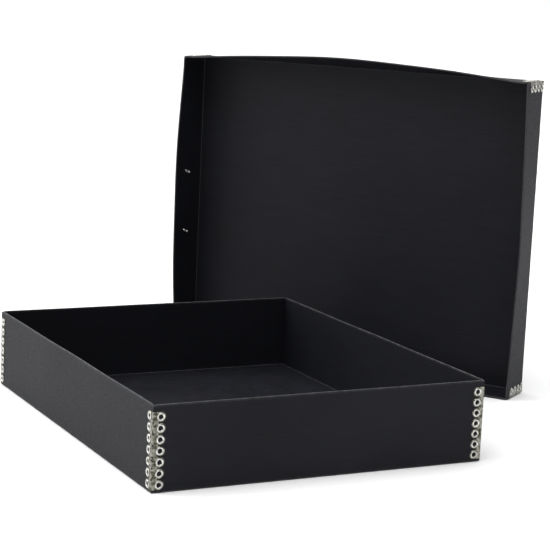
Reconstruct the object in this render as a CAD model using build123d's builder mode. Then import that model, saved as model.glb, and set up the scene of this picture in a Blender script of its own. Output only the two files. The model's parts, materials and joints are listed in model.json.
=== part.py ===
"""Archival storage box of black board: an open tray lying flat, with its lid on edge behind it.

Both are creased from one sheet each and held at the corners by pressed metal stays. The lid carries a
riveted label holder with a card. The origin is the centre of the tray's base, +Z up, +Y along its length.
"""
from build123d import *
import os
from math import cos, radians, sin

# Board
BOARD = 1.5  # thickness of the board
FOLD_RADIUS = 1.4  # outside of a creased fold
CREASE_RADIUS = 0.6  # bead of board squeezed up inside a fold
FOLD_HEIGHT = 2.5  # straight foot of every wall, above the face of its panel
SLIT = 0.3  # gap between two walls that meet at a corner
SLIT_LENGTH = 9.0

# Tray
TRAY_WIDTH = 324.0
TRAY_LENGTH = 400.0
TRAY_DEPTH = 76.0

# Lid
FIT_GAP = 1.2  # between the tray's walls and the lid's, all round
LID_DEPTH = 45.0
LID_LENGTH = TRAY_LENGTH + 2 * (FIT_GAP + BOARD)
LID_WIDTH = TRAY_WIDTH + 2 * (FIT_GAP + BOARD)
LID_BOWS = {"lower": 0.0, "right": 3.3, "upper": 10.5, "left": 6.0}  # how far each wall's rim springs out
LID_YAW = -54.6  # heading of the lid's long walls, from +X
LID_CORNER = (316.8, -11.8)  # where the rim's lower right corner stands

# Corner stays
STAY_THICKNESS = 0.3
STAY_BAND = 5.0  # solid strip beside the bend
STAY_BEND_RADIUS = 0.9
EYELET_SETBACK = 6.9  # eyelet's centre, from the corner
EYELET_PITCH = 9.77
EYELET_LOBE_RADIUS = 4.3
EYELET_SKIRT_RADIUS = 3.95  # where the crest comes down to the strip
EYELET_HOLE_RADIUS = 2.0
EYELET_CREST_RADIUS = 2.9
EYELET_CREST_HEIGHT = 0.8  # above the board
EYELET_NECK_DEPTH = 1.0  # pressed into the board
EYELET_NECK_WALL = 0.3
BEND_HOLE_RADIUS = 0.8  # small holes along the bend, between eyelets
TRAY_EYELETS = 7
TRAY_FIRST_EYELET = 10.3  # below the rim
LID_EYELETS = 4
LID_FIRST_EYELET = 11.0

# Label holder, its rivets and its card
HOLDER_RIM_DISTANCE = 20.0  # from the rim to the holder's middle
HOLDER_LENGTH = 78.0
HOLDER_WIDTH = 28.0
HOLDER_EAR = 10.0
HOLDER_SHEET = 0.5
HOLDER_RISE = 0.8  # underside of the raised frame, above the wall
HOLDER_BORDER = 4.5
HOLDER_EAR_ROUND = 3.0
HOLDER_WINDOW_ROUND = 1.5
THUMB_NOTCH = 14.0
THUMB_NOTCH_LENGTH = 31.0
RIVET_SPACING = 68.0
RIVET_HOLE_RADIUS = 1.5
RIVET_SHANK_RADIUS = 1.35
RIVET_HEAD_RADIUS = 3.2
RIVET_HEAD_HEIGHT = 1.2
RIVET_HEAD_ROUND = 1.1
RIVET_LEG_REACH = 4.0
RIVET_LEG_WIDTH = 2.2
RIVET_LEG_THICKNESS = 0.5
RIVET_LEG_TURN = 20.0
RIVET_LEG_GAP = 0.25  # between the legs and the inside of the wall
CARD_THICKNESS = 0.3
CARD_LIFT = 0.35
CARD_SIDE_GAP = 0.4

# The lid stands clear of the floor by what its stays stand out.
lid_across = Vector(cos(radians(LID_YAW)), sin(radians(LID_YAW)), 0)
lid_opening = Vector(sin(radians(LID_YAW)), -cos(radians(LID_YAW)), 0)
lid_centre = (
    Vector(*LID_CORNER, EYELET_CREST_HEIGHT + LID_WIDTH / 2)
    - lid_across * (LID_LENGTH / 2)
    - lid_opening * LID_DEPTH
)
tray_frame = Plane.XY
lid_frame = Plane(origin=lid_centre, x_dir=lid_across, z_dir=lid_opening)


def corner_frames(frame, length, width):
    """A plane at each outer corner, anticlockwise from the lower left, x and y along the two walls."""
    frames = []
    for turn, (side_x, side_y) in enumerate([(-1, -1), (1, -1), (1, 1), (-1, 1)]):
        corner = frame.from_local_coords(Vector(side_x * length / 2, side_y * width / 2, 0))
        heading = frame.from_local_coords(Vector(1, 0, 0).rotate(Axis.Z, 90 * turn)) - frame.origin
        frames.append(Plane(origin=corner, x_dir=heading, z_dir=frame.z_dir))
    return frames


def wall_middle(length, bow):
    """Plan of the stretch of wall between two stays, along x from its middle, outward being -y."""
    half = length / 2
    with BuildLine() as plan:
        if bow > 0:
            ThreePointArc((-half, 0), (0, -bow), (half, 0))
        else:
            Line((-half, 0), (half, 0))
        Line((half, 0), (half, BOARD))
        if bow > 0:
            ThreePointArc((half, BOARD), (0, BOARD - bow), (-half, BOARD))
        else:
            Line((half, BOARD), (-half, BOARD))
        Line((-half, BOARD), (-half, 0))
    return plan.edges()


def board_shell(frame, length, width, depth, bows):
    """A sheet creased into a panel and four walls, open on the +z side of its frame.

    Each wall stands straight beside the corner stays. Between them it springs out towards its rim.
    """
    stay_reach = EYELET_SETBACK + EYELET_LOBE_RADIUS
    corners = corner_frames(frame, length, width)
    with BuildPart() as shell:
        with BuildSketch(frame):
            Rectangle(length, width)
        extrude(amount=FOLD_HEIGHT)
        panel = shell.faces().sort_by(Axis(frame.origin, frame.z_dir))[0]
        fillet(panel.edges(), FOLD_RADIUS)
        with BuildSketch(frame.offset(FOLD_HEIGHT)):
            Rectangle(length - 2 * BOARD, width - 2 * BOARD)
        extrude(amount=BOARD - FOLD_HEIGHT, mode=Mode.SUBTRACT)
        inside_face = shell.faces().filter_by(GeomType.PLANE).sort_by(Axis(frame.origin, frame.z_dir))[1]
        fillet(inside_face.edges(), CREASE_RADIUS)

        for corner in corners:
            with BuildSketch(corner.offset(FOLD_HEIGHT)):
                Rectangle(stay_reach, stay_reach, align=(Align.MIN, Align.MIN))
                with Locations((BOARD, BOARD)):
                    Rectangle(stay_reach, stay_reach, align=(Align.MIN, Align.MIN), mode=Mode.SUBTRACT)
                Rectangle(SLIT_LENGTH, SLIT, rotation=45, mode=Mode.SUBTRACT)
            extrude(amount=depth - FOLD_HEIGHT)

        for corner, bow, wall_length in zip(corners, bows, (length, width, length, width)):
            middle = corner.from_local_coords(Vector(wall_length / 2, 0, 0))
            foot = Plane(origin=middle, x_dir=corner.x_dir, z_dir=corner.z_dir)
            with BuildSketch(foot.offset(FOLD_HEIGHT)):
                make_face(wall_middle(wall_length - 2 * stay_reach, 0))
            with BuildSketch(foot.offset(depth)):
                make_face(wall_middle(wall_length - 2 * stay_reach, bow))
            loft(ruled=True)
    return shell.part


def eyelet_section():
    """Half section of an eyelet: a neck pressed into the board, and a rounded crest above the strip."""
    inner = EYELET_HOLE_RADIUS
    neck = inner + EYELET_NECK_WALL
    lip = EYELET_CREST_HEIGHT / 2
    with BuildLine() as section:
        Polyline((inner, lip), (inner, -EYELET_NECK_DEPTH), (neck, -EYELET_NECK_DEPTH), (neck, 0))
        Polyline((neck, 0), (EYELET_SKIRT_RADIUS, 0), (EYELET_SKIRT_RADIUS, STAY_THICKNESS))
        ThreePointArc(
            (EYELET_SKIRT_RADIUS, STAY_THICKNESS),
            (EYELET_CREST_RADIUS, EYELET_CREST_HEIGHT),
            (inner, lip),
        )
    return section.edges()


def corner_stay(name, corner, depth, count, first):
    """A strip bent round a corner, with one row of pressed eyelets along each leg."""
    top = depth - first + EYELET_LOBE_RADIUS
    length = (count - 1) * EYELET_PITCH + 2 * EYELET_LOBE_RADIUS
    heights = [depth - first - step * EYELET_PITCH for step in range(count)]
    leg = Plane(origin=corner.origin, x_dir=corner.x_dir, z_dir=-corner.y_dir)
    half = STAY_THICKNESS / 2
    with BuildPart() as stay:
        with BuildSketch(corner.offset(top - length)):
            with BuildLine():
                FilletPolyline(
                    (STAY_BAND, -half), (-half, -half), (-half, STAY_BAND), radius=STAY_BEND_RADIUS
                )
            trace(line_width=STAY_THICKNESS)
        extrude(amount=length)
        with BuildSketch(leg):
            with Locations(*[(EYELET_SETBACK, height) for height in heights]):
                Circle(EYELET_LOBE_RADIUS)
        extrude(amount=STAY_THICKNESS)
        with BuildSketch(leg):
            with Locations(*[(EYELET_SETBACK, height) for height in heights]):
                Circle(EYELET_HOLE_RADIUS)
        extrude(amount=STAY_THICKNESS, mode=Mode.SUBTRACT)
        for height in heights:
            spot = leg.from_local_coords(Vector(EYELET_SETBACK, height, 0))
            with BuildSketch(Plane(origin=spot, x_dir=leg.x_dir, z_dir=-leg.y_dir)):
                make_face(eyelet_section())
            revolve(axis=Axis(spot, leg.z_dir))
        mirror(about=Plane(origin=corner.origin, z_dir=corner.x_dir - corner.y_dir))
        bend_side = -(corner.x_dir + corner.y_dir)
        for height in heights[:-1]:
            spot = corner.from_local_coords(Vector(0, 0, height - EYELET_PITCH / 2))
            with BuildSketch(Plane(origin=spot, x_dir=corner.z_dir, z_dir=bend_side)):
                Circle(BEND_HOLE_RADIUS)
            extrude(amount=2 * STAY_BEND_RADIUS, both=True, mode=Mode.SUBTRACT)
    stay.part.label = name
    return stay


def split_rivet(name, seat):
    """A domed rivet whose split shank is spread flat against the inside of the wall."""
    leg_heading = seat.y_dir.rotate(Axis(seat.origin, seat.z_dir), RIVET_LEG_TURN)
    leg_top = BOARD + RIVET_LEG_GAP
    with BuildPart() as rivet:
        with BuildSketch(seat.offset(-leg_top)):
            Circle(RIVET_SHANK_RADIUS)
        extrude(amount=leg_top + HOLDER_SHEET)
        with BuildSketch(seat.offset(HOLDER_SHEET)):
            Circle(RIVET_HEAD_RADIUS)
        extrude(amount=RIVET_HEAD_HEIGHT)
        head_rim = rivet.edges().sort_by(Axis(seat.origin, seat.z_dir))[-1]
        fillet(head_rim, RIVET_HEAD_ROUND)
        legs = Plane(origin=seat.origin, x_dir=leg_heading, z_dir=seat.z_dir)
        with BuildSketch(legs.offset(-leg_top)):
            SlotOverall(2 * RIVET_LEG_REACH, RIVET_LEG_WIDTH)
        extrude(amount=-RIVET_LEG_THICKNESS)
    rivet.part.label = name
    return rivet


def save(piece):
    export_step(piece.part, f"parts/{piece.part.label}.step")
    print(piece.part.label, len(piece.part.solids()), round(piece.part.volume), piece.part.is_valid)


os.makedirs("parts", exist_ok=True)

# The tray and its stays. Its frame runs x across the tray, so its length is the frame's y.
with BuildPart() as tray_board:
    add(board_shell(tray_frame, TRAY_WIDTH, TRAY_LENGTH, TRAY_DEPTH, [0.0] * 4))
tray_board.part.label = "tray_board"
save(tray_board)

tray_corners = corner_frames(tray_frame, TRAY_WIDTH, TRAY_LENGTH)
for place, corner in zip(("front_left", "front_right", "back_right", "back_left"), tray_corners):
    save(corner_stay(f"tray_stay_{place}", corner, TRAY_DEPTH, TRAY_EYELETS, TRAY_FIRST_EYELET))

# The holder lies on the outside of the lid's left wall, which leans out from its foot to its rim.
# Its x runs along the wall, its y towards the panel and its z away from the wall.
wall_lean = LID_BOWS["left"] / (LID_DEPTH - FOLD_HEIGHT)
holder_height = LID_DEPTH - HOLDER_RIM_DISTANCE
holder_spot = lid_frame.from_local_coords(
    Vector(-LID_LENGTH / 2 - wall_lean * (holder_height - FOLD_HEIGHT), 0, holder_height)
)
holder_frame = Plane(
    origin=holder_spot, x_dir=lid_frame.y_dir, z_dir=-lid_frame.x_dir - lid_frame.z_dir * wall_lean
)
rivet_spots = [(-RIVET_SPACING / 2, 0), (RIVET_SPACING / 2, 0)]

# The lid, with the holes for the holder's rivets, and its stays
with BuildPart() as rivet_holes:
    with BuildSketch(holder_frame):
        with Locations(*rivet_spots):
            Circle(RIVET_HOLE_RADIUS)
    extrude(amount=2 * BOARD, both=True)

with BuildPart() as lid_board:
    add(board_shell(lid_frame, LID_LENGTH, LID_WIDTH, LID_DEPTH, LID_BOWS.values()))
    add(rivet_holes.part, mode=Mode.SUBTRACT)
lid_board.part.label = "lid_board"
save(lid_board)

lid_corners = corner_frames(lid_frame, LID_LENGTH, LID_WIDTH)
for place, corner in zip(("lower_left", "lower_right", "upper_right", "upper_left"), lid_corners):
    save(corner_stay(f"lid_stay_{place}", corner, LID_DEPTH, LID_EYELETS, LID_FIRST_EYELET))

pocket_length = HOLDER_LENGTH - 2 * HOLDER_EAR - 2 * HOLDER_SHEET
with BuildPart() as label_holder:
    with BuildSketch(holder_frame):
        RectangleRounded(HOLDER_LENGTH, HOLDER_WIDTH, HOLDER_EAR_ROUND)
    extrude(amount=HOLDER_SHEET)
    with BuildSketch(holder_frame):
        Rectangle(pocket_length + 2 * HOLDER_SHEET, HOLDER_WIDTH)
    extrude(amount=HOLDER_RISE + HOLDER_SHEET)
    # the pocket is open at the panel's side, and closed by a folded lip at the rim's side
    with BuildSketch(holder_frame):
        with Locations((0, HOLDER_SHEET / 2)):
            Rectangle(pocket_length, HOLDER_WIDTH - HOLDER_SHEET)
    extrude(amount=HOLDER_RISE, mode=Mode.SUBTRACT)
    with BuildSketch(holder_frame.offset(HOLDER_RISE)):
        RectangleRounded(
            pocket_length - 2 * HOLDER_BORDER, HOLDER_WIDTH - 2 * HOLDER_BORDER, HOLDER_WINDOW_ROUND
        )
        with Locations((0, HOLDER_WIDTH / 2)):
            SlotOverall(THUMB_NOTCH_LENGTH, THUMB_NOTCH, rotation=90)
    extrude(amount=HOLDER_SHEET, mode=Mode.SUBTRACT)
    with BuildSketch(holder_frame):
        with Locations(*rivet_spots):
            Circle(RIVET_HOLE_RADIUS)
    extrude(amount=HOLDER_SHEET, mode=Mode.SUBTRACT)
label_holder.part.label = "label_holder"
save(label_holder)

card_length = pocket_length - 2 * CARD_SIDE_GAP
card_width = HOLDER_WIDTH - HOLDER_SHEET - 2 * CARD_SIDE_GAP
with BuildPart() as label_card:
    with BuildSketch(holder_frame.offset(CARD_LIFT)):
        with Locations((0, HOLDER_SHEET / 2)):
            Rectangle(card_length, card_width)
    extrude(amount=CARD_THICKNESS)
label_card.part.label = "label_card"
save(label_card)

for place, (along, across) in zip(("lower", "upper"), rivet_spots):
    spot = holder_frame.from_local_coords(Vector(along, across, 0))
    seat = Plane(origin=spot, x_dir=holder_frame.x_dir, z_dir=holder_frame.z_dir)
    save(split_rivet(f"split_rivet_{place}", seat))
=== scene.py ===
"""Looks of the archival box: black creased board, metal corner stays, a label holder and its card."""
import bpy
import json
import math
import numpy as np
from mathutils import Matrix, Vector


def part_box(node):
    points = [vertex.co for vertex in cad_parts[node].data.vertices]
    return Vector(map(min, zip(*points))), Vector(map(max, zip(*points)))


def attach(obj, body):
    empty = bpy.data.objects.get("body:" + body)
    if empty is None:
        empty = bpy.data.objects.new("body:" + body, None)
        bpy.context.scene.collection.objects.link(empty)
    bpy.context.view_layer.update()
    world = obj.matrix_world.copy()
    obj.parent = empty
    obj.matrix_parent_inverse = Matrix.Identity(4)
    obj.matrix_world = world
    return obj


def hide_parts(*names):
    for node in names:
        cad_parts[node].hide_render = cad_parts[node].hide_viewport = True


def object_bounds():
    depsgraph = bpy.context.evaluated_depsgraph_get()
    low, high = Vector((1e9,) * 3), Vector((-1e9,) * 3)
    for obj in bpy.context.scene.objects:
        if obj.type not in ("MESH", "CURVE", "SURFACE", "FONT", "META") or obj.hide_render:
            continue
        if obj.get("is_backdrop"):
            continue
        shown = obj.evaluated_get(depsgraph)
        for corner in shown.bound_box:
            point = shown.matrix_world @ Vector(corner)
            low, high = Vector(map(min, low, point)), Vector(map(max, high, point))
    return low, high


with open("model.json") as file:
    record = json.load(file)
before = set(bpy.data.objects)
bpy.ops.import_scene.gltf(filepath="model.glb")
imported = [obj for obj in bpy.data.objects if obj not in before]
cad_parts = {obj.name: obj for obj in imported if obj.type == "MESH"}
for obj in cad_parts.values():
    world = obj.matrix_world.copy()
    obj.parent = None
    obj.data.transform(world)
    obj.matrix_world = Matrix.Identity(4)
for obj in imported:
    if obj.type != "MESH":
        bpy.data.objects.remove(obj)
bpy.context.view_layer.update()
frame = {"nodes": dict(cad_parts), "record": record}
MM = 0.001

# Board sizes, which follow the CAD model
BOARD = 1.5 * MM
FIT_GAP = 1.2 * MM
LID_DEPTH = 45.0 * MM
LID_BOWS = {"lower": 0.0, "right": 3.3 * MM, "upper": 10.5 * MM, "left": 6.0 * MM}
TRAY_BOWS = {"lower": 0.0, "right": 0.0, "upper": 0.0, "left": 0.0}
STAY_REACH = 11.2 * MM
FOLD_MIDDLE_RADIUS = 1.15 * MM
MITRE_GAP = 0.08 * MM

# A ripple is its waves per metre, in radians, and its phase
PANEL_RIPPLES = ((23, 1.3), (19, 0.4))
FOLD_BEAD_RIPPLES = ((157, 0), (61, 1))
WAVER_WAVES = 38

# A panel's grid, and how it lifts within a margin of its edges
PANEL_STEP = 6 * MM
PANEL_EDGE_STEP = 1.5 * MM
PANEL_LIFT = 0.35 * MM
PANEL_LIFT_MARGIN = 0.03

# A wall's rows: degrees round its fold, then millimetres above the fold, the last ones even and up to
# the wall's depth less a shortfall
FOLD_TURNS = (15, 30, 45, 60, 75, 90)
ROWS_NEAR_FOLD = (0.6, 1.4, 3, 6)
EVEN_ROWS = 9
EVEN_ROWS_START = 10
EVEN_ROWS_SHORTFALL = 4

# A wall's shape: its spring between the stays, its waver, its fold's bead, and its softened rim and corners
SPRING_END = 0.9 * STAY_REACH
SPRING_FALL = 1.15
SPRING_CLIMB = 1.02
WAVER = 0.4 * MM
FOLD_BEAD = 0.3
RIM_SOFTENING = 0.14 * MM
RIM_ROW_WITHIN = 0.01 * MM
RIM_THICKNESS = 0.8
CORNER_DROP = 0.9 * MM
CORNER_DROP_REACH = 1.2 * MM
SHARP_ANGLE = 38

# How rubbed the board is, from 0 to 1, and how far the rubbing reaches. The paler rubbing at folds and rims
# is partly wear and partly a painted highlight.
FOLD_RUB_AND_HIGHLIGHT = 0.75
FOLD_FOOT_RUB_AND_HIGHLIGHT = 0.08
FOLD_FOOT_RUB_AND_HIGHLIGHT_REACH = 1.2 * MM
RIM_RUB_AND_HIGHLIGHT_REACH = 0.35 * MM
TRAY_RIM_RUB_AND_HIGHLIGHT = 0.8
LID_RIM_RUB_AND_HIGHLIGHT = 0.15
OUTER_FACE_RUB_AND_HIGHLIGHT = 0.7

# Label holder and its rivets
FOLD_HEIGHT = 2.5 * MM
HOLDER_RIM_DISTANCE = 20.0 * MM
RIVET_SPACING = 68.0 * MM
SOFT_EDGE = 0.14 * MM
PRONG_TURN = 20
PRONG_COLUMNS = 5
PRONG_CAMBER = 0.3 * MM
PRONG_GAUGE = 0.4 * MM
PRONG_PATH = [(reach * MM, height * MM, width * MM) for reach, height, width in (
    (1.1, -1.8, 2.1), (1.3, -2.5, 2.2), (1.9, -3.15, 2.3), (2.8, -3.35, 2.2), (3.7, -2.95, 1.9),
    (4.3, -2.3, 1.4), (4.6, -1.8, 0.9),
)]

# Corner stays and their eyelets. The burst throat has five prongs, and its amounts are in millimetres.
EYELET_SETBACK = 6.9 * MM
EYELET_PITCH = 9.77 * MM
TRAY_EYELETS, TRAY_FIRST_EYELET = 7, 10.3 * MM
LID_EYELETS, LID_FIRST_EYELET = 4, 11.0 * MM
RING_SIDES = 40
RING_GAUGE = 0.12 * MM
RING_PROFILE = [(r * MM, h * MM) for r, h in (
    (3.66, 0.48), (3.52, 0.68), (3.25, 0.82), (2.95, 0.89), (2.65, 0.87), (2.38, 0.75), (2.14, 0.52),
)]
THROAT_PROFILE = [(r * MM, h * MM) for r, h in ((1.92, 0.2), (1.86, -0.1), (1.8, -0.35))]
BURST_PRONGS = 5
BURST_SHARPNESS = 0.7
BURST_WIDER = 0.28
BURST_HIGHER = 0.45
TRAY_STAYS = [f"tray_stay_{place}" for place in ("front_left", "front_right", "back_right", "back_left")]
LID_STAYS = [f"lid_stay_{place}" for place in ("lower_left", "lower_right", "upper_right", "upper_left")]

# Board's sheen, and the room: the floor, the backdrop's shades and the light from overhead
BOARD_SHEEN = 0.16
FLOOR_SIZE = 30
BACKDROP_HEADING = -8
BACKDROP_RISE = 0.45
BACKDROP_SWEEP = (-0.25, 0.35)
BACKDROP_DIM = (0.19, 0.19, 0.2)
BACKDROP_BRIGHT = (1.0, 1.0, 1.0)
OVERHEAD_STRENGTH = 2.3
OVERHEAD_SPREAD = 70
OVERHEAD_AIM = (0.25, 0.15, -1)
# Each softbox: its place from the model's middle, its two sides and its power
SOFTBOXES = {
    "left_softbox": ((-2.2, 1.0, 1.1), (1.4, 1.4), 22),
    "right_softbox": ((-0.2, -2.7, 1.5), (0.8, 1.0), 5),
}

# Camera: where it stands, its heading from +Y towards +X, its dip and its tilt
CAMERA_PLACE = (-0.7333, -1.5342, 0.4465)
CAMERA_HEADING = 26.93
CAMERA_DIP = 10.06
CAMERA_TILT = 2.65
CAMERA_LENS = 118.4
CAMERA_SENSOR = 36


# ---------------------------------------------------------------- materials

def new_material(name):
    """A material, its node tree and its shader."""
    material = bpy.data.materials.new(name)
    material.use_nodes = True
    tree = material.node_tree
    return material, tree, tree.nodes["Principled BSDF"]


def add_noise(tree, scale, detail, stretch=(1, 1, 1), roughness=0.55):
    """Noise in the object's own coordinates, stretched along each axis."""
    place = tree.nodes.new("ShaderNodeTexCoord")
    mapping = tree.nodes.new("ShaderNodeMapping")
    mapping.inputs["Scale"].default_value = stretch
    noise = tree.nodes.new("ShaderNodeTexNoise")
    noise.inputs["Scale"].default_value = scale
    noise.inputs["Detail"].default_value = detail
    noise.inputs["Roughness"].default_value = roughness
    tree.links.new(place.outputs["Object"], mapping.inputs["Vector"])
    tree.links.new(mapping.outputs["Vector"], noise.inputs["Vector"])
    return noise.outputs["Fac"]


def add_range(tree, source, low, high, start=0.0, end=1.0):
    """The source value carried from the range start to end, to the range low to high."""
    span = tree.nodes.new("ShaderNodeMapRange")
    span.inputs["From Min"].default_value = start
    span.inputs["From Max"].default_value = end
    span.inputs["To Min"].default_value = low
    span.inputs["To Max"].default_value = high
    tree.links.new(source, span.inputs["Value"])
    return span.outputs["Result"]


def add_math(tree, operation, first, second):
    """Two values added or multiplied."""
    result = tree.nodes.new("ShaderNodeMath")
    result.operation = operation
    tree.links.new(first, result.inputs[0])
    tree.links.new(second, result.inputs[1])
    return result.outputs["Value"]


def add_mix(tree, factor, first, second):
    """A colour between first and second. Each is a colour or a socket."""
    mix = tree.nodes.new("ShaderNodeMix")
    mix.data_type = "RGBA"
    tree.links.new(factor, mix.inputs["Factor"])
    for socket, value in ((mix.inputs[6], first), (mix.inputs[7], second)):
        if isinstance(value, tuple):
            socket.default_value = (*value, 1)
        else:
            tree.links.new(value, socket)
    return mix.outputs[2]


def add_bump(tree, shader, height, distance, strength, under=None):
    """A bump on the shader's normal, over another bump if there is one."""
    bump = tree.nodes.new("ShaderNodeBump")
    bump.inputs["Distance"].default_value = distance
    bump.inputs["Strength"].default_value = strength
    tree.links.new(height, bump.inputs["Height"])
    if under is not None:
        tree.links.new(under.outputs["Normal"], bump.inputs["Normal"])
    tree.links.new(bump.outputs["Normal"], shader.inputs["Normal"])
    return bump


def board_material(name, dark, light, rubbed_and_highlit):
    """Black board: calendered fibres with a low sheen, paler where folds and edges are rubbed, the paleness
    there partly a painted highlight.
    """
    material, tree, shader = new_material(name)
    clouds = add_noise(tree, scale=9, detail=4)
    fibres = add_noise(tree, scale=900, detail=5, roughness=0.65)
    streaks = add_noise(tree, scale=160, detail=4, stretch=(1, 1, 9))
    broad = add_noise(tree, scale=42, detail=5, stretch=(0.6, 0.6, 14), roughness=0.6)
    cloudy = add_range(tree, clouds, 0, 0.55, start=0.3, end=0.7)
    streaky = add_range(tree, broad, 0, 0.6, start=0.36, end=0.66)
    body = add_mix(tree, add_math(tree, "ADD", cloudy, streaky), dark, light)
    # The attribute read here lightens folds and rims: partly wear, partly a painted highlight.
    rub = tree.nodes.new("ShaderNodeAttribute")
    rub.attribute_name = "rub"
    patches = add_range(tree, add_noise(tree, scale=120, detail=5), 0.35, 1.25, start=0.3, end=0.7)
    patchy_rub = add_math(tree, "MULTIPLY", rub.outputs["Fac"], patches)
    tree.links.new(add_mix(tree, patchy_rub, body, rubbed_and_highlit), shader.inputs["Base Color"])
    roughness = add_range(tree, streaks, 0.5, 0.66, start=0.3, end=0.7)
    tree.links.new(roughness, shader.inputs["Roughness"])
    shader.inputs["Specular IOR Level"].default_value = BOARD_SHEEN
    coarse = add_bump(tree, shader, streaks, distance=0.05 * MM, strength=0.5)
    add_bump(tree, shader, fibres, distance=0.06 * MM, strength=0.7, under=coarse)
    return material


def metal_material(name, colour, dull, grain, rough, scratch):
    """Pressed sheet metal: bright, with rolling lines and small dull patches."""
    material, tree, shader = new_material(name)
    patches = add_noise(tree, scale=grain, detail=5)
    lines = add_noise(tree, scale=500, detail=3, stretch=(1, 1, 0.08))
    shade = add_range(tree, patches, 0, 1, start=0.4, end=0.62)
    tree.links.new(add_mix(tree, shade, colour, dull), shader.inputs["Base Color"])
    shader.inputs["Metallic"].default_value = 1.0
    roughness = add_range(tree, patches, rough * 0.8, rough * 1.4, start=0.3, end=0.7)
    tree.links.new(roughness, shader.inputs["Roughness"])
    add_bump(tree, shader, lines, distance=scratch, strength=0.6)
    return material


def card_material(name, colour, shaded):
    """Index card with a soft tooth."""
    material, tree, shader = new_material(name)
    tooth = add_noise(tree, scale=1400, detail=4)
    shade = add_range(tree, add_noise(tree, scale=60, detail=4), 0, 1, start=0.3, end=0.7)
    tree.links.new(add_mix(tree, shade, colour, shaded), shader.inputs["Base Color"])
    shader.inputs["Roughness"].default_value = 0.85
    add_bump(tree, shader, tooth, distance=0.03 * MM, strength=0.6)
    return material


def floor_material():
    """Plain pale floor."""
    material, _, shader = new_material("studio_floor")
    shader.inputs["Base Color"].default_value = (0.9, 0.9, 0.9, 1)
    shader.inputs["Roughness"].default_value = 0.9
    shader.inputs["Specular IOR Level"].default_value = 0.1
    return material


# The last colour of each board is paler board for rubbed folds and rims, and it also paints a highlight
# there.
BLACK_BOARD = board_material(
    "black_board", dark=(0.0046, 0.0049, 0.0074), light=(0.0092, 0.0097, 0.0136), rubbed_and_highlit=(0.085, 0.085, 0.088))
# The cut edge is paler than the faces: partly the cut board's own tone, partly a painted edge highlight.
BOARD_EDGE = board_material(
    "board_cut_edge", dark=(0.018, 0.018, 0.020), light=(0.034, 0.034, 0.037), rubbed_and_highlit=(0.12, 0.12, 0.125))
TINPLATE = metal_material(
    "tinplate", colour=(0.27, 0.265, 0.23), dull=(0.04, 0.039, 0.026),
    grain=260, rough=0.26, scratch=0.01 * MM)
# A lighter copy of the stay and rivet metal, its brightness a painted highlight on the eyelet crests and
# rivet prongs.
PAINTED_HIGHLIGHT_METAL = metal_material(
    "painted_highlight_metal", colour=(0.78, 0.77, 0.73), dull=(0.5, 0.49, 0.45),
    grain=400, rough=0.28, scratch=0.006 * MM)
NICKEL = metal_material(
    "nickel_plate", colour=(0.55, 0.54, 0.51), dull=(0.49, 0.48, 0.45),
    grain=90, rough=0.26, scratch=0.012 * MM)
CARD = card_material("index_card", colour=(0.58, 0.55, 0.46), shaded=(0.50, 0.47, 0.385))


# ---------------------------------------------------------------- board shells

def spread(end, step, close):
    """Places from -end to end about one step apart, with closer ones near both ends."""
    middle = np.linspace(-end + 3 * close, end - 3 * close, int(2 * end / step) + 1)
    near = end - np.array([0, 1, 2]) * close
    return np.concatenate([-near, middle, near[::-1]])


def ripple(place, wave):
    """The height of a ripple at a place, from -1 to 1."""
    waves, phase = wave
    return math.sin(waves * place + phase)


def add_piece(name, data):
    """An object that holds the data, in the scene."""
    piece = bpy.data.objects.new(name, data)
    bpy.context.scene.collection.objects.link(piece)
    return piece


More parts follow.
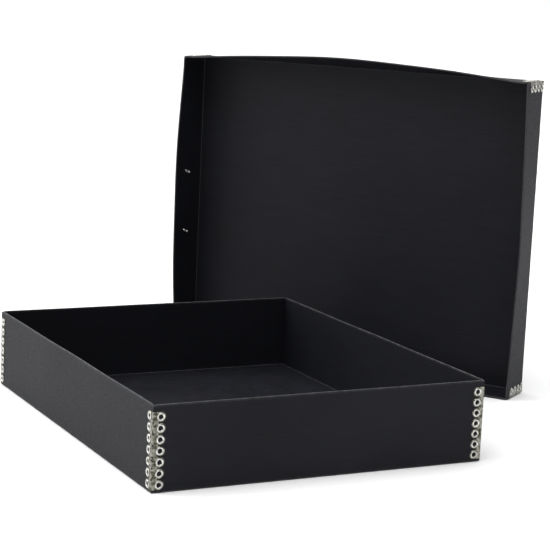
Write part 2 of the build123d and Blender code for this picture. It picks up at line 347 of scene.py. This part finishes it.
class Sheet:
    """A board shell as a folded sheet: rows of mid-surface points, each with the way to its inner face."""

    def __init__(self, length, width, depth, bows, rim_rub):
        self.length, self.width, self.depth, self.bows, self.rim_rub = length, width, depth, bows, rim_rub
        self.middle, self.inward, self.half, self.rub, self.mitre = [], [], [], [], []
        self.quads = []

    def add(self, middle, inward, half=1.0, rub=0.0, mitre=(0, 0, 0)):
        """A point of the sheet. half is its thickness as a share of the board's."""
        self.middle.append(middle)
        self.inward.append(inward)
        self.half.append(half)
        self.rub.append(rub)
        self.mitre.append(mitre)
        return len(self.middle) - 1

    def panel(self):
        """The panel's grid, which is all but flat."""
        inset = BOARD / 2 + FOLD_MIDDLE_RADIUS
        xs = spread(self.length / 2 - inset, PANEL_STEP, PANEL_EDGE_STEP)
        ys = spread(self.width / 2 - inset, PANEL_STEP, PANEL_EDGE_STEP)
        ripple_x, ripple_y = PANEL_RIPPLES
        grid = np.empty((len(xs), len(ys)), int)
        for i, x in enumerate(xs):
            for j, y in enumerate(ys):
                edge_x = (self.length / 2 - abs(x)) / PANEL_LIFT_MARGIN
                edge_y = (self.width / 2 - abs(y)) / PANEL_LIFT_MARGIN
                rise = 1 + ripple(x, ripple_x) * ripple(y, ripple_y)
                lift = PANEL_LIFT * min(1, edge_x, edge_y) * rise / 2
                grid[i, j] = self.add((x, y, BOARD / 2 + lift), (0, 0, 1))
        for i in range(len(xs) - 1):
            for j in range(len(ys) - 1):
                self.quads.append((grid[i, j], grid[i + 1, j], grid[i + 1, j + 1], grid[i, j + 1]))
        return grid

    def wall_rows(self, foot):
        """The rows of a wall: turns round its fold in radians, then heights up to its rim."""
        even = np.linspace(EVEN_ROWS_START, self.depth / MM - EVEN_ROWS_SHORTFALL, EVEN_ROWS)
        heights = [foot + h * MM for h in np.concatenate([ROWS_NEAR_FOLD, even])]
        heights += [self.depth - RIM_SOFTENING, self.depth]
        turns = [("turn", turn) for turn in np.radians(FOLD_TURNS)]
        return turns + [("height", height) for height in heights]

    def wall(self, edge, out, bow):
        """The wall folded up from edge, an anticlockwise row of panel points. out is its outward side."""
        out = np.array(out, float)
        along = np.array((-out[1], out[0]))
        half_span = (abs(out[0]) * self.width + abs(out[1]) * self.length) / 2
        face = (abs(out[0]) * self.length + abs(out[1]) * self.width) / 2 - BOARD / 2
        foot = BOARD / 2 + FOLD_MIDDLE_RADIUS
        bead_one, bead_two = FOLD_BEAD_RIPPLES
        starts = [np.dot(self.middle[k][:2], along) for k in edge]
        previous = list(edge)
        for kind, value in self.wall_rows(foot):
            current = []
            for column, start in enumerate(starts):
                last = column in (0, len(starts) - 1)
                side = math.copysign(1, start)
                if kind == "turn":
                    reach = face - FOLD_MIDDLE_RADIUS * (1 - math.sin(value))
                    z = foot - FOLD_MIDDLE_RADIUS * math.cos(value)
                    inward = (-out[0] * math.sin(value), -out[1] * math.sin(value), math.cos(value))
                    # Paler round the fold: rubbing, and a painted crease highlight.
                    rub = FOLD_RUB_AND_HIGHLIGHT * math.sin(2 * value)
                    rise = math.sin(value)
                    half = 1.0
                    if not last:
                        bead = (ripple(start, bead_one) * ripple(start, bead_two)) ** 2
                        half += FOLD_BEAD * math.sin(2 * value) * bead
                else:
                    reach, z, inward = face, value, (-out[0], -out[1], 0)
                    rise = 1.0
                    below = self.depth - value
                    # Paler at the rim and at the fold's foot: rubbing, and a painted highlight.
                    rub = self.rim_rub * math.exp(-below / RIM_RUB_AND_HIGHLIGHT_REACH)
                    rub += FOLD_FOOT_RUB_AND_HIGHLIGHT * math.exp(-(value - foot) / FOLD_FOOT_RUB_AND_HIGHLIGHT_REACH)
                    half = RIM_THICKNESS if below < RIM_ROW_WITHIN else 1.0
                place = start
                if last:
                    place = side * (abs(start) + rise * (half_span - BOARD / 2 - MITRE_GAP - abs(start)))
                share = abs(place) / (half_span - SPRING_END)
                spring = max(0.0, 1 - share**2) ** SPRING_FALL
                climbed = max(0.0, (z - foot) / (self.depth - foot))
                reach += bow * spring * climbed ** SPRING_CLIMB
                reach += WAVER * spring * climbed * math.sin(WAVER_WAVES * place + 2 * out[0] + out[1])
                mitre = (0, 0, 0)
                if last:
                    mitre = (along[0] * side * rise, along[1] * side * rise, 0)
                if last and kind == "height":
                    z -= CORNER_DROP * math.exp(-((self.depth - value) / CORNER_DROP_REACH) ** 2)
                point = (out[0] * reach + along[0] * place, out[1] * reach + along[1] * place, z)
                current.append(self.add(point, inward, half, rub, mitre))
            for k in range(len(starts) - 1):
                self.quads.append((previous[k], current[k], current[k + 1], previous[k + 1]))
            previous = current

    def build(self, name, place):
        """The closed mesh: inner and outer faces either side of the sheet, joined round its cut edges."""
        grid = self.panel()
        self.wall(grid[:, 0], (0, -1), self.bows["lower"])
        self.wall(grid[-1, :], (1, 0), self.bows["right"])
        self.wall(grid[::-1, -1], (0, 1), self.bows["upper"])
        self.wall(grid[0, ::-1], (-1, 0), self.bows["left"])
        middle, inward = np.array(self.middle, float), np.array(self.inward, float)
        half = np.array(self.half, float)[:, None] * BOARD / 2
        mitre = np.array(self.mitre, float) * BOARD / 2
        rub = np.array(self.rub, float)
        inner = middle + inward * half - mitre
        outer = middle - inward * half + mitre
        count = len(middle)
        points = np.concatenate([inner, outer])
        faces = [tuple(q) for q in self.quads]
        faces += [tuple(k + count for k in q[::-1]) for q in self.quads]
        edges = [(q[k], q[(k + 1) % 4]) for q in self.quads for k in range(4)]
        known = set(edges)
        first_cut = len(faces)
        faces += [(b, a, a + count, b + count) for a, b in edges if (b, a) not in known]
        mesh = bpy.data.meshes.new(name)
        mesh.from_pydata([place @ Vector(p) for p in points], [], [tuple(int(k) for k in f) for f in faces])
        mesh.materials.append(BLACK_BOARD)
        mesh.materials.append(BOARD_EDGE)
        attribute = mesh.attributes.new("rub", "FLOAT", "POINT")
        # The outer face gets a share of the same rubbing and painted highlight.
        attribute.data.foreach_set("value", np.concatenate([rub, rub * OUTER_FACE_RUB_AND_HIGHLIGHT]).astype(np.float32))
        for number, polygon in enumerate(mesh.polygons):
            polygon.use_smooth = True
            polygon.material_index = int(number >= first_cut)
        mesh.set_sharp_from_angle(angle=math.radians(SHARP_ANGLE))
        mesh.validate()
        return add_piece(name, mesh)


def lid_place():
    """The lid's own frame: x along it, y up, z out of its open side, from its panel's mount."""
    mount = next(m for m in frame["record"]["mounts"] if m["name"] == "lid_top")
    opening = -Vector(mount["axis"])
    up = Vector((0, 0, 1))
    across = up.cross(opening)
    place = Matrix((across, up, opening)).transposed().to_4x4()
    place.translation = Vector(mount["pos_m"])
    return place


tray_low, tray_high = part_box("tray_board")
tray_size = tray_high - tray_low
LID_PLACE = lid_place()

tray_sheet = Sheet(tray_size.x, tray_size.y, tray_size.z, TRAY_BOWS, TRAY_RIM_RUB_AND_HIGHLIGHT)
tray = tray_sheet.build("tray_shell", Matrix.Identity(4))
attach(tray, "tray")
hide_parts("tray_board")

lid_grow = 2 * (FIT_GAP + BOARD)
lid_length, lid_width = tray_size.y + lid_grow, tray_size.x + lid_grow
lid = Sheet(lid_length, lid_width, LID_DEPTH, LID_BOWS, LID_RIM_RUB_AND_HIGHLIGHT).build("lid_shell", LID_PLACE)
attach(lid, "lid")
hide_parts("lid_board")


# ---------------------------------------------------------------- metal and card

def repaint(node, material):
    """Gives every slot of a CAD node the material."""
    for slot in frame["nodes"][node].material_slots:
        slot.material = material


for node in frame["nodes"]:
    if "stay" in node:
        repaint(node, TINPLATE)
    if node == "label_holder" or node.startswith("split_rivet"):
        repaint(node, NICKEL)
repaint("label_card", CARD)
for node in ("label_holder", "split_rivet_lower", "split_rivet_upper"):
    soft_edge = frame["nodes"][node].modifiers.new("soft_edge", "BEVEL")
    soft_edge.width = SOFT_EDGE
    soft_edge.segments = 2
    soft_edge.limit_method = "ANGLE"
    soft_edge.harden_normals = False


def highlit_metal_piece(name, points, faces, gauge, offset):
    """A smooth piece of sheet metal in the lighter metal that paints a highlight. offset is the side of its
    faces on which its gauge lies.
    """
    mesh = bpy.data.meshes.new(name)
    mesh.from_pydata(points, [], faces)
    mesh.materials.append(PAINTED_HIGHLIGHT_METAL)
    for polygon in mesh.polygons:
        polygon.use_smooth = True
    piece = add_piece(name, mesh)
    thick = piece.modifiers.new("gauge", "SOLIDIFY")
    thick.thickness = gauge
    thick.offset = offset
    return piece


def corner_planes(place, length, width):
    """A frame at each outer corner, anticlockwise from the lower left, its x and y along the two walls."""
    planes = []
    for turn, (side_x, side_y) in enumerate([(-1, -1), (1, -1), (1, 1), (-1, 1)]):
        spin = Matrix.Rotation(turn * math.pi / 2, 4, "Z")
        shift = Matrix.Translation((side_x * length / 2, side_y * width / 2, 0))
        planes.append(place @ shift @ spin)
    return planes


def ring_points(centre, across, along, out):
    """An eyelet's points, from skirt over crest and down its burst throat, and their number of rows."""
    rows = [(radius, height, 0.0) for radius, height in RING_PROFILE]
    for step, (radius, height) in enumerate(THROAT_PROFILE):
        rows.append((radius, height, (step + 1) / len(THROAT_PROFILE)))
    points = []
    for radius, height, burst in rows:
        for k in range(RING_SIDES):
            angle = 2 * math.pi * (k + 0.5) / RING_SIDES
            tooth = abs(math.sin(BURST_PRONGS / 2 * angle)) ** BURST_SHARPNESS
            r = radius + burst * BURST_WIDER * MM * (1 - tooth)
            h = height + burst * BURST_HIGHER * MM * (1 - tooth)
            points.append(centre + across * (r * math.cos(angle)) + along * (r * math.sin(angle)) + out * h)
    return points, len(rows)


def eyelet_rings(name, body, corner, depth, count, first):
    """The rolled rims and burst throats of one stay's eyelets, painted brighter than the stay as a highlight.
    """
    points, faces = [], []
    way_x, way_y, up = (corner.to_3x3() @ Vector(v) for v in ((1, 0, 0), (0, 1, 0), (0, 0, 1)))
    for across, out in ((way_x, -way_y), (way_y, -way_x)):
        for step in range(count):
            height = depth - first - step * EYELET_PITCH
            centre = corner.translation + across * EYELET_SETBACK + up * height
            ring, rows = ring_points(centre, across, up, out)
            base = len(points)
            points += ring
            clockwise = across.cross(up).dot(out) < 0
            for row in range(rows - 1):
                for k in range(RING_SIDES):
                    a, b = base + row * RING_SIDES + k, base + row * RING_SIDES + (k + 1) % RING_SIDES
                    quad = (a, b, b + RING_SIDES, a + RING_SIDES)
                    faces.append(quad[::-1] if clockwise else quad)
    rings = highlit_metal_piece(name, points, faces, RING_GAUGE, -1)
    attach(rings, body)


for name, corner in zip(TRAY_STAYS, corner_planes(Matrix.Identity(4), tray_size.x, tray_size.y)):
    eyelet_rings(f"{name}_eyelets", "tray", corner, tray_size.z, TRAY_EYELETS, TRAY_FIRST_EYELET)
for name, corner in zip(LID_STAYS, corner_planes(LID_PLACE, lid_length, lid_width)):
    eyelet_rings(f"{name}_eyelets", "lid", corner, LID_DEPTH, LID_EYELETS, LID_FIRST_EYELET)


def rivet_seats():
    """Where each rivet's shank meets the holder: x up the wall, y towards the panel and z out of the wall."""
    lean = LID_BOWS["left"] / (LID_DEPTH - FOLD_HEIGHT)
    height = LID_DEPTH - HOLDER_RIM_DISTANCE
    out = Vector((-1, 0, -lean)).normalized()
    along = Vector((0, 1, 0))
    turn = Matrix((along, out.cross(along), out)).transposed().to_4x4()
    middle = Matrix.Translation((-lid_length / 2 - lean * (height - FOLD_HEIGHT), 0, height)) @ turn
    return [LID_PLACE @ middle @ Matrix.Translation((side * RIVET_SPACING / 2, 0, 0)) for side in (-1, 1)]


def rivet_prongs(name, seat):
    """The two halves of a split shank, curled over and pressed back against the inside of the wall, painted
    brighter than the rivet as a highlight.
    """
    points, faces = [], []
    for side in (0, 1):
        turn = Matrix.Rotation(math.radians(90 + PRONG_TURN + 180 * side), 4, "Z")
        base = len(points)
        for reach, height, width in PRONG_PATH:
            for k in range(PRONG_COLUMNS):
                across = 2 * k / (PRONG_COLUMNS - 1) - 1
                camber = PRONG_CAMBER * across**2
                points.append(seat @ turn @ Vector((reach, across * width / 2, height + camber)))
        for row in range(len(PRONG_PATH) - 1):
            for k in range(PRONG_COLUMNS - 1):
                a = base + row * PRONG_COLUMNS + k
                faces.append((a, a + 1, a + 1 + PRONG_COLUMNS, a + PRONG_COLUMNS))
    prongs = highlit_metal_piece(name, points, faces, PRONG_GAUGE, 0)
    round_off = prongs.modifiers.new("round", "SUBSURF")
    round_off.levels = round_off.render_levels = 1
    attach(prongs, "lid")


for place, seat in zip(("lower", "upper"), rivet_seats()):
    rivet_prongs(f"rivet_prongs_{place}", seat)


# ---------------------------------------------------------------- studio

def aim(direction):
    """The turn that points a light along a direction."""
    return direction.to_track_quat("-Z", "Y").to_euler()


def soft_light(name, place, target, size, power):
    """A rectangular light at place, turned to the target."""
    data = bpy.data.lights.new(name, "AREA")
    data.shape = "RECTANGLE"
    data.size, data.size_y = size
    data.energy = power
    light = add_piece(name, data)
    light.location = place
    light.rotation_euler = aim(target - place)


def studio():
    """The floor, the backdrop and the lights."""
    low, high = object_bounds()
    bpy.ops.mesh.primitive_plane_add(size=FLOOR_SIZE, location=(0, 0, min(0.0, low.z)))
    floor = bpy.context.object
    floor.name = "studio_floor"
    floor.data.materials.append(floor_material())
    floor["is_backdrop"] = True
    world = bpy.data.worlds.new("studio")
    bpy.context.scene.world = world
    world.use_nodes = True
    tree = world.node_tree
    background = tree.nodes["Background"]
    direction = tree.nodes.new("ShaderNodeTexCoord")
    ahead = tree.nodes.new("ShaderNodeVectorMath")
    ahead.operation = "DOT_PRODUCT"
    heading = math.radians(BACKDROP_HEADING)
    ahead.inputs[1].default_value = (math.sin(heading), math.cos(heading), BACKDROP_RISE)
    tree.links.new(direction.outputs["Generated"], ahead.inputs[0])
    sweep = add_range(tree, ahead.outputs["Value"], 0, 1, *BACKDROP_SWEEP)
    tree.links.new(add_mix(tree, sweep, BACKDROP_DIM, BACKDROP_BRIGHT), background.inputs["Color"])
    background.inputs["Strength"].default_value = 1.0
    middle = (low + high) / 2
    for name, (offset, size, power) in SOFTBOXES.items():
        soft_light(name, middle + Vector(offset), middle, size, power)
    overhead = bpy.data.lights.new("overhead_light", "SUN")
    overhead.energy = OVERHEAD_STRENGTH
    overhead.angle = math.radians(OVERHEAD_SPREAD)
    add_piece("overhead_light", overhead).rotation_euler = aim(Vector(OVERHEAD_AIM))


def camera():
    """The camera fitted to the photo."""
    data = bpy.data.cameras.new("photo_camera")
    data.sensor_width = CAMERA_SENSOR
    data.lens = CAMERA_LENS
    eye = add_piece("photo_camera", data)
    heading, dip, tilt = (math.radians(a) for a in (CAMERA_HEADING, CAMERA_DIP, CAMERA_TILT))
    ahead = Vector((math.sin(heading) * math.cos(dip), math.cos(heading) * math.cos(dip), -math.sin(dip)))
    level = Vector((math.cos(heading), -math.sin(heading), 0))
    upright = level.cross(ahead)
    right = math.cos(tilt) * level + math.sin(tilt) * upright
    up = -math.sin(tilt) * level + math.cos(tilt) * upright
    eye.matrix_world = Matrix.Translation(CAMERA_PLACE) @ Matrix((right, up, -ahead)).transposed().to_4x4()
    bpy.context.scene.camera = eye


studio()
camera()
bpy.context.scene.view_settings.view_transform = "Standard"
